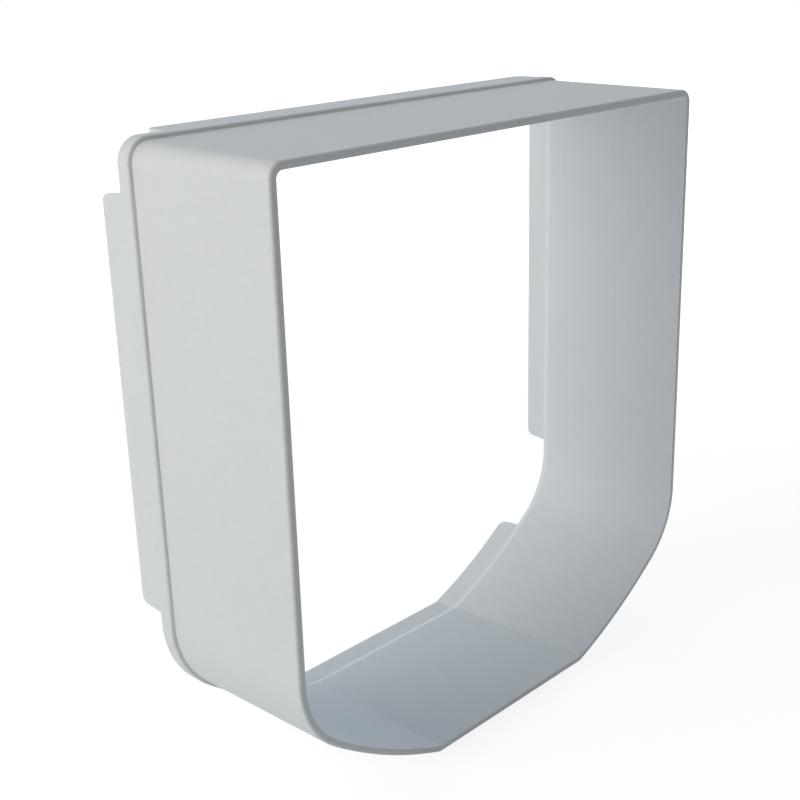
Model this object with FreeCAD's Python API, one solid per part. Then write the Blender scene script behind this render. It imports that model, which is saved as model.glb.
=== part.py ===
import FreeCAD, Part
import math
import os
from FreeCAD import Vector

# Tunnel section for a cat flap: one moulded ring that lines the hole in a door or wall.
# The collar at its rear has a seat and four tongues. They slip over the front rim of the
# next section, which is the same as this one's, until that rim meets the seat.
# X runs across the tunnel, Y from front to rear, Z up.
# The lowest point is at Z = 0 and the depth is centred on Y = 0. Sizes are in millimetres.

# Front rim, outside
rim_width = 170.0
rim_height = 175.0
flat_width = 67.0
top_radius = 4.0
lower_radius = 28.0
bow_radius = 155.0
crease_angle = 20.0

# Wall
wall = 2.0
draft_angle = 0.75
body_length = 50.0

# The upper corners open up from the front rim's radius to this one at the seat
rear_top_radius = 4.8

# Collar and tongues
collar_length = 4.5
tongue_length = 8.0
tongue_wall = 1.5
nest_clearance = 0.15

# The passage flares just in front of the seat
flare_length = 2.0
flare_width = 0.55

# At the seat, how far the top tongue's ends are from the sides, and the side tongues' top
# ends from the top
top_tongue_left_stop = 12.5
top_tongue_right_stop = 5.6
side_tongue_top_stop = 12.0

# At the seat, how far the side and bottom tongues stop short of the rounded lower corner
side_tongue_bottom_stop = 3.2
bottom_tongue_stop = 3.7

# The tongues narrow towards their tips: each end leans in by this much
tongue_end_angle = 6.0

# Edge rounds
rim_round = 0.9
step_round = 0.7
foot_round = 0.2
tongue_corner_round = 2.5

# Where the step is too low for its two rounds, they shrink to this share of its height
step_round_share = 0.95

# Places that follow from the sizes above
half_width = rim_width / 2
slope = math.tan(math.radians(draft_angle))
collar_offset = nest_clearance + tongue_wall
step_height = collar_offset - slope * body_length
depth = body_length + collar_length + tongue_length
front = -depth / 2
step = front + body_length
seat = step + collar_length
rear = seat + tongue_length
rim_bottom = collar_offset
rim_top = rim_bottom + rim_height

# The bow runs from the crease beside the flat bottom up to the rounded lower corner.
# Its centre comes from the crease, and the corner's centre from touching bow and side.
crease = math.radians(crease_angle)
bow_x = flat_width / 2 - bow_radius * math.sin(crease)
bow_z = rim_bottom + bow_radius * math.cos(crease)
lower_x = half_width - lower_radius
lower_z = bow_z - math.sqrt((bow_radius - lower_radius) ** 2 - (lower_x - bow_x) ** 2)
bow_join = math.atan2(lower_x - bow_x, bow_z - lower_z)

# How far cutting shapes run past what they cut, and how near counts as the same place
overrun = 15.0
near = 0.0001


def on_circle(centre_x, centre_z, radius, angle, y, side):
    """Point on a circle, with the angle measured from straight down; side mirrors it."""
    x = centre_x + radius * math.sin(angle)
    return Vector(side * x, y, centre_z - radius * math.cos(angle))


def arc(centre_x, centre_z, radius, start, end, y, side):
    angles = (start, (start + end) / 2, end)
    points = [on_circle(centre_x, centre_z, radius, angle, y, side) for angle in angles]
    return Part.Arc(*points).toShape()


def line(start, end):
    return Part.LineSegment(start, end).toShape()


def outline(grow, corner, y):
    """The tunnel's outline in the plane at depth y, moved outward by grow.

    Corner is the upper corners' radius where nothing is added.
    """
    top_x = half_width - corner
    top_z = rim_top - corner
    top_r = corner + grow
    lower_r = lower_radius + grow
    bow_r = bow_radius + grow
    bow_start = math.acos((bow_z - rim_bottom + grow) / bow_r)
    level = math.pi / 2
    up = math.pi
    halves = []
    for side in (1, -1):
        side_line = line(on_circle(top_x, top_z, top_r, level, y, side),
                         on_circle(lower_x, lower_z, lower_r, level, y, side))
        halves.append([arc(top_x, top_z, top_r, up, level, y, side),
                       side_line,
                       arc(lower_x, lower_z, lower_r, level, bow_join, y, side),
                       arc(bow_x, bow_z, bow_r, bow_join, bow_start, y, side)])
    right, left = halves
    top_line = line(on_circle(top_x, top_z, top_r, up, y, -1),
                    on_circle(top_x, top_z, top_r, up, y, 1))
    flat_line = line(on_circle(bow_x, bow_z, bow_r, bow_start, y, 1),
                     on_circle(bow_x, bow_z, bow_r, bow_start, y, -1))
    return Part.Wire([top_line] + right + [flat_line] + left[::-1])


def drafted_outline(offset, y):
    """Outline at depth y of a surface that opens towards the rear by the draft angle."""
    share = (y - front) / (seat - front)
    corner = top_radius + share * (rear_top_radius - top_radius)
    return outline(offset + slope * (y - front), corner, y)


def drafted(offset, start, end):
    """Solid between two depths whose sides have the draft angle."""
    return Part.makeLoft([drafted_outline(offset, start), drafted_outline(offset, end)], True, True)


def straight(offset, start, end):
    """Solid between two depths with the same outline all along."""
    face = Part.Face(outline(offset, rear_top_radius, start))
    return face.extrude(Vector(0, end - start, 0))


def cutter(points_at):
    """Solid behind the seat, longer than the tongues, that cuts two tongue ends.

    The function points_at gives the X, Z points of its outline where the ends lean in by
    a given length.
    """
    wires = []
    for run in (0, tongue_length + overrun):
        points = points_at(run * math.tan(math.radians(tongue_end_angle)))
        corners = [Vector(x, seat + run, z) for x, z in points]
        wires.append(Part.makePolygon(corners + corners[:1]))
    return Part.makeLoft(wires, True, True)


def upper_gap(side, stop):
    """What is cut at an upper corner, between the top tongue and a side tongue."""
    outer_x = side * (half_width + overrun)
    high_z = rim_top + overrun

    def points_at(lean):
        inner_x = side * (half_width - stop - lean)
        low_z = rim_top - side_tongue_top_stop - lean
        return [(inner_x, low_z), (outer_x, low_z), (outer_x, high_z), (inner_x, high_z)]

    return cutter(points_at)


def lower_gap(side):
    """What is cut at a lower corner, with the bottom tongue's end square to the bow."""
    bow_end_x = bow_x + bow_radius * math.sin(bow_join)
    angle = math.asin((bow_end_x - bottom_tongue_stop - bow_x) / bow_radius)
    inner = on_circle(bow_x, bow_z, bow_radius - overrun, angle, seat, side)
    outer = on_circle(bow_x, bow_z, bow_radius + overrun, angle, seat, side)
    inner_x = side * (half_width - overrun)
    outer_x = side * (half_width + overrun)

    def points_at(lean):
        along_x = -side * lean * math.cos(angle)
        along_z = -lean * math.sin(angle)
        low_z = outer.z + along_z
        high_z = lower_z + side_tongue_bottom_stop + lean
        return [(inner.x + along_x, inner.z + along_z), (outer.x + along_x, low_z),
                (outer_x, low_z), (outer_x, high_z), (inner_x, high_z)]

    return cutter(points_at)


def flat_faces_at(solid, y):
    """Flat faces that lie across the tunnel at depth y, the largest first."""
    found = []
    for face in solid.Faces:
        box = face.BoundBox
        if abs(box.YMin - y) < near and abs(box.YMax - y) < near:
            found.append(face)
    return sorted(found, key=lambda face: -face.Area)


def ring_edges(solid, y, outer):
    """Outer or inner edges of the ring-shaped face at depth y."""
    wires = sorted(flat_faces_at(solid, y)[0].Wires, key=lambda wire: wire.Length)
    return wires[-1].Edges if outer else wires[0].Edges


def tongue_corners(solid):
    """The short edges across the wall at both ends of each tongue's rear face."""
    return [edge for face in flat_faces_at(solid, rear) for edge in face.Edges
            if abs(edge.Length - tongue_wall) < tongue_wall / 10]


def tunnel_section():
    """The whole moulding: drafted wall, collar, seat and tongues, with rounded edges."""
    outside = drafted(0, front, seat).fuse(straight(collar_offset, step, rear))
    passage = drafted(-wall, front - overrun, seat)
    flare_start = drafted_outline(-wall, seat - flare_length)
    flare = Part.makeLoft([flare_start, drafted_outline(flare_width - wall, seat)], True, True)
    nest = straight(nest_clearance, seat, rear + overrun)
    solid = outside.cut(passage).cut(flare).cut(nest)
    for side, stop in ((1, top_tongue_right_stop), (-1, top_tongue_left_stop)):
        solid = solid.cut(upper_gap(side, stop)).cut(lower_gap(side))
    solid = solid.removeSplitter()

    solid = solid.makeFillet(tongue_corner_round, tongue_corners(solid))
    solid = solid.makeFillet(rim_round, ring_edges(solid, front, outer=True))
    shrink = min(1, step_round_share * step_height / (step_round + foot_round))
    solid = solid.makeFillet(shrink * step_round, ring_edges(solid, step, outer=True))
    return solid.makeFillet(shrink * foot_round, ring_edges(solid, step, outer=False))


os.makedirs("parts", exist_ok=True)
section = tunnel_section()
print("solids", len(section.Solids), "valid", section.isValid(), "volume", round(section.Volume, 1))
section.exportStep("parts/tunnel_section.step")
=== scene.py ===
"""Looks for the cat flap tunnel section: moulded plastic, soft studio light and camera.

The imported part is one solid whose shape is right, so it stays and gets a detailed material.
Lengths are in metres and colours are linear.
"""

import math

import bpy
from mathutils import Matrix, Vector

# Camera, fitted to the edges in the photograph. Lens and sensor are in millimetres.
CAMERA_PLACE = (-0.272496, -0.2505201, 0.2207485)
CAMERA_RIGHT = (0.68869924, -0.72451707, -0.0277196)
CAMERA_UP = (0.25486949, 0.20612392, 0.94475101)
FOCAL_LENGTH = 59.392
SENSOR_WIDTH = 36.0
CLIP_START = 0.01
CLIP_END = 50.0

# Plastic: colour, sheen, and the share and depth of the light that scatters inside it
PLASTIC = (0.80, 0.82, 0.82)
SHEEN = 0.3
REFRACTION = 1.47
SCATTER_SHARE = 0.35
SCATTER_DEPTH = 0.001

# Noise patterns in the plastic: spots in each metre, levels of detail, roughness of the levels
GRAIN = (2300.0, 2.0, 0.6)
MOTTLE = (420.0, 3.0, 0.6)
CLOUDS = (22.0, 2.0, 0.5)

# The stretch of a pattern's values that the ranges below are laid over
PATTERN_STRETCH = (0.25, 0.75)
GRAIN_SHADE = (0.972, 1.022)
MOTTLE_SHADE = (0.985, 1.01)
CLOUD_SHADE = (0.985, 1.0)
GRAIN_ROUGHNESS = (0.62, 0.76)

# Strength and depth of the bumps
GRAIN_BUMP = (0.25, 0.00008)
MOTTLE_BUMP = (0.2, 0.00025)

# Worn edges: radius, and rays that look for an edge
EDGE_WEAR = 0.00012
EDGE_RAYS = 6

# Floor: colour, half its width, and the ground's glow. The glow's share rises to the full one
# between two distances from the object.
FLOOR_WHITE = (0.9, 0.9, 0.9)
FLOOR_REACH = 3.0
GROUND_GLOW = 1.3
GLOW_SHARE = (0.65, 1.0)
GLOW_DISTANCE = (0.2, 0.7)

# Even light from all round
WORLD_STRENGTH = 0.244
WORLD_COLOUR = (0.89, 0.93, 1.0)

WHITE = (1.0, 1.0, 1.0)

# Square soft boxes, which all face the middle of the object from the same distance:
# azimuth and elevation in degrees, power in watts, colour
MIDDLE = (0.0, 0.0, 0.09)
LAMP_DISTANCE = 1.3
LAMP_SIZE = 0.8
LAMPS = {
    "key": (-110, 10, 6.6, (1.0, 0.99, 0.97)),
    "top_left": (-110, 50, 2.85, (1.0, 0.935, 0.81)),
    "right": (90, 8, 1.3, WHITE),
    "rear_right": (135, 15, 2.0, (0.50, 0.71, 1.0)),
    "rear": (180, 15, 4.6, (0.60, 0.81, 1.0)),
}


def make_camera():
    """The photograph's viewpoint: no shift and no depth of field."""
    right = Vector(CAMERA_RIGHT).normalized()
    up = Vector(CAMERA_UP)
    up = (up - right * up.dot(right)).normalized()
    back = right.cross(up)
    turn = Matrix((right, up, back)).transposed().to_4x4()
    data = bpy.data.cameras.new("camera")
    data.lens = FOCAL_LENGTH
    data.sensor_width = SENSOR_WIDTH
    data.clip_start = CLIP_START
    data.clip_end = CLIP_END
    camera = bpy.data.objects.new("camera", data)
    camera.matrix_world = Matrix.Translation(CAMERA_PLACE) @ turn
    bpy.context.scene.collection.objects.link(camera)
    bpy.context.scene.camera = camera


def new_material(name):
    """An empty material and its node tree."""
    material = bpy.data.materials.new(name)
    material.use_nodes = True
    material.node_tree.nodes.clear()
    return material, material.node_tree


def add(tree, kind, operation=None, **inputs):
    """A node with the given input values; underscores in a name stand for spaces."""
    node = tree.nodes.new(kind)
    if operation:
        node.operation = operation
    for name, value in inputs.items():
        node.inputs[name.replace("_", " ")].default_value = value
    return node


def combine(tree, operation, first, second):
    """The result of a maths operation on two outputs."""
    node = add(tree, "ShaderNodeMath", operation)
    tree.links.new(first, node.inputs[0])
    tree.links.new(second, node.inputs[1])
    return node.outputs["Value"]


def mixed(tree, share, first, second):
    """A shader that goes from the first to the second as the share goes from 0 to 1."""
    mix = tree.nodes.new("ShaderNodeMixShader")
    tree.links.new(share, mix.inputs["Fac"])
    tree.links.new(first, mix.inputs[1])
    tree.links.new(second, mix.inputs[2])
    return mix.outputs["Shader"]


def ranged(tree, value, source, target, interpolation="LINEAR"):
    """A value carried from the source range to the target range, and held at its ends."""
    node = add(tree, "ShaderNodeMapRange", From_Min=source[0], From_Max=source[1],
               To_Min=target[0], To_Max=target[1])
    node.interpolation_type = interpolation
    tree.links.new(value, node.inputs["Value"])
    return node.outputs["Result"]


def showing(tree):
    """1 for camera, glossy and transmission rays, which see the white ground; 0 for the rest."""
    path = tree.nodes.new("ShaderNodeLightPath")
    value = path.outputs["Is Camera Ray"]
    for name in ("Is Glossy Ray", "Is Transmission Ray"):
        value = combine(tree, "MAXIMUM", value, path.outputs[name])
    return value


def plastic():
    """Satin moulded plastic: fine grain, faint clouding, scattered light and worn edges."""
    material, tree = new_material("white_plastic")
    link = tree.links.new
    out = tree.nodes.new("ShaderNodeOutputMaterial")
    shader = add(tree, "ShaderNodeBsdfPrincipled", Specular_IOR_Level=SHEEN, IOR=REFRACTION,
                 Subsurface_Weight=SCATTER_SHARE, Subsurface_Scale=SCATTER_DEPTH,
                 Subsurface_Radius=WHITE)
    link(shader.outputs["BSDF"], out.inputs["Surface"])
    place = tree.nodes.new("ShaderNodeTexCoord")

    def noise(pattern):
        scale, detail, roughness = pattern
        node = add(tree, "ShaderNodeTexNoise", Scale=scale, Detail=detail, Roughness=roughness)
        link(place.outputs["Object"], node.inputs["Vector"])
        return node.outputs["Fac"]

    def stretched(value, target):
        return ranged(tree, value, PATTERN_STRETCH, target)

    def bumped(height, bump, normal):
        strength, depth = bump
        node = add(tree, "ShaderNodeBump", Strength=strength, Distance=depth)
        link(height, node.inputs["Height"])
        link(normal, node.inputs["Normal"])
        return node.outputs["Normal"]

    grain = noise(GRAIN)
    mottle = noise(MOTTLE)
    clouds = noise(CLOUDS)

    shade = stretched(clouds, CLOUD_SHADE)
    shade = combine(tree, "MULTIPLY", shade, stretched(mottle, MOTTLE_SHADE))
    shade = combine(tree, "MULTIPLY", shade, stretched(grain, GRAIN_SHADE))
    colour = add(tree, "ShaderNodeVectorMath", "SCALE", Vector=PLASTIC)
    link(shade, colour.inputs["Scale"])
    link(colour.outputs["Vector"], shader.inputs["Base Color"])
    link(stretched(grain, GRAIN_ROUGHNESS), shader.inputs["Roughness"])

    edges = add(tree, "ShaderNodeBevel", Radius=EDGE_WEAR)
    edges.samples = EDGE_RAYS
    rough = bumped(grain, GRAIN_BUMP, edges.outputs["Normal"])
    link(bumped(mottle, MOTTLE_BUMP, rough), shader.inputs["Normal"])
    return material


def floor_material():
    """Matt white floor, seen as a white ground that keeps the object's shadow.

    Away from the object the ground fades to plain white, so that no horizon shows.
    """
    material, tree = new_material("floor_white")
    link = tree.links.new
    out = tree.nodes.new("ShaderNodeOutputMaterial")
    matt = add(tree, "ShaderNodeBsdfDiffuse", Color=(*FLOOR_WHITE, 1.0))
    glow = add(tree, "ShaderNodeEmission", Color=(*WHITE, 1.0), Strength=GROUND_GLOW)
    place = tree.nodes.new("ShaderNodeTexCoord")
    distance = add(tree, "ShaderNodeVectorMath", "LENGTH")
    link(place.outputs["Object"], distance.inputs[0])
    fade = ranged(tree, distance.outputs["Value"], GLOW_DISTANCE, GLOW_SHARE, "SMOOTHSTEP")
    share = combine(tree, "MULTIPLY", showing(tree), fade)
    surface = mixed(tree, share, matt.outputs["BSDF"], glow.outputs["Emission"])
    link(surface, out.inputs["Surface"])
    return material


def make_floor():
    mesh = bpy.data.meshes.new("floor")
    reach = FLOOR_REACH
    corners = [(-reach, -reach, 0), (reach, -reach, 0), (reach, reach, 0), (-reach, reach, 0)]
    mesh.from_pydata(corners, [], [(0, 1, 2, 3)])
    floor = bpy.data.objects.new("floor", mesh)
    mesh.materials.append(floor_material())
    bpy.context.scene.collection.objects.link(floor)


def make_world():
    """Even light from all round, behind the same white that the ground shows."""
    world = bpy.data.worlds.new("studio")
    bpy.context.scene.world = world
    world.use_nodes = True
    tree = world.node_tree
    tree.nodes.clear()
    out = tree.nodes.new("ShaderNodeOutputWorld")
    light = add(tree, "ShaderNodeBackground", Color=(*WORLD_COLOUR, 1.0), Strength=WORLD_STRENGTH)
    white = add(tree, "ShaderNodeBackground", Color=(*WHITE, 1.0), Strength=1.0)
    surface = mixed(tree, showing(tree), light.outputs["Background"], white.outputs["Background"])
    tree.links.new(surface, out.inputs["Surface"])


def make_lamp(name, azimuth, elevation, power, colour):
    """A soft box. Azimuth 0 is in front of the object and 90 at its right."""
    azimuth = math.radians(azimuth)
    elevation = math.radians(elevation)
    away = Vector((math.sin(azimuth) * math.cos(elevation),
                   -math.cos(azimuth) * math.cos(elevation),
                   math.sin(elevation)))
    data = bpy.data.lights.new(name, "AREA")
    data.shape = "SQUARE"
    data.size = LAMP_SIZE
    data.energy = power
    data.color = colour
    lamp = bpy.data.objects.new(name, data)
    lamp.location = Vector(MIDDLE) + away * LAMP_DISTANCE
    lamp.rotation_mode = "QUATERNION"
    lamp.rotation_quaternion = away.to_track_quat("Z", "Y")
    bpy.context.scene.collection.objects.link(lamp)


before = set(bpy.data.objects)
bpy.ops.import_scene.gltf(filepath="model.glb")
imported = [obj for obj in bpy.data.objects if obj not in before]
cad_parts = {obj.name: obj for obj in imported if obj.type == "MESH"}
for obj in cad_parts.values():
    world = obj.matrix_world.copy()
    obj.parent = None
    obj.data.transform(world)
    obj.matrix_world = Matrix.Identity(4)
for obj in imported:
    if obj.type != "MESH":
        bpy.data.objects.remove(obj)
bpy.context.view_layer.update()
scene = bpy.context.scene
scene.view_settings.view_transform = "Standard"

# A new file comes with a light and a camera of its own
for other in [item for item in scene.objects if item.type in ("LIGHT", "CAMERA")]:
    bpy.data.objects.remove(other)

make_camera()
make_floor()
make_world()
for lamp_name, settings in LAMPS.items():
    make_lamp(lamp_name, *settings)

section_material = plastic()
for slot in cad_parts["tunnel_section"].material_slots:
    slot.material = section_material
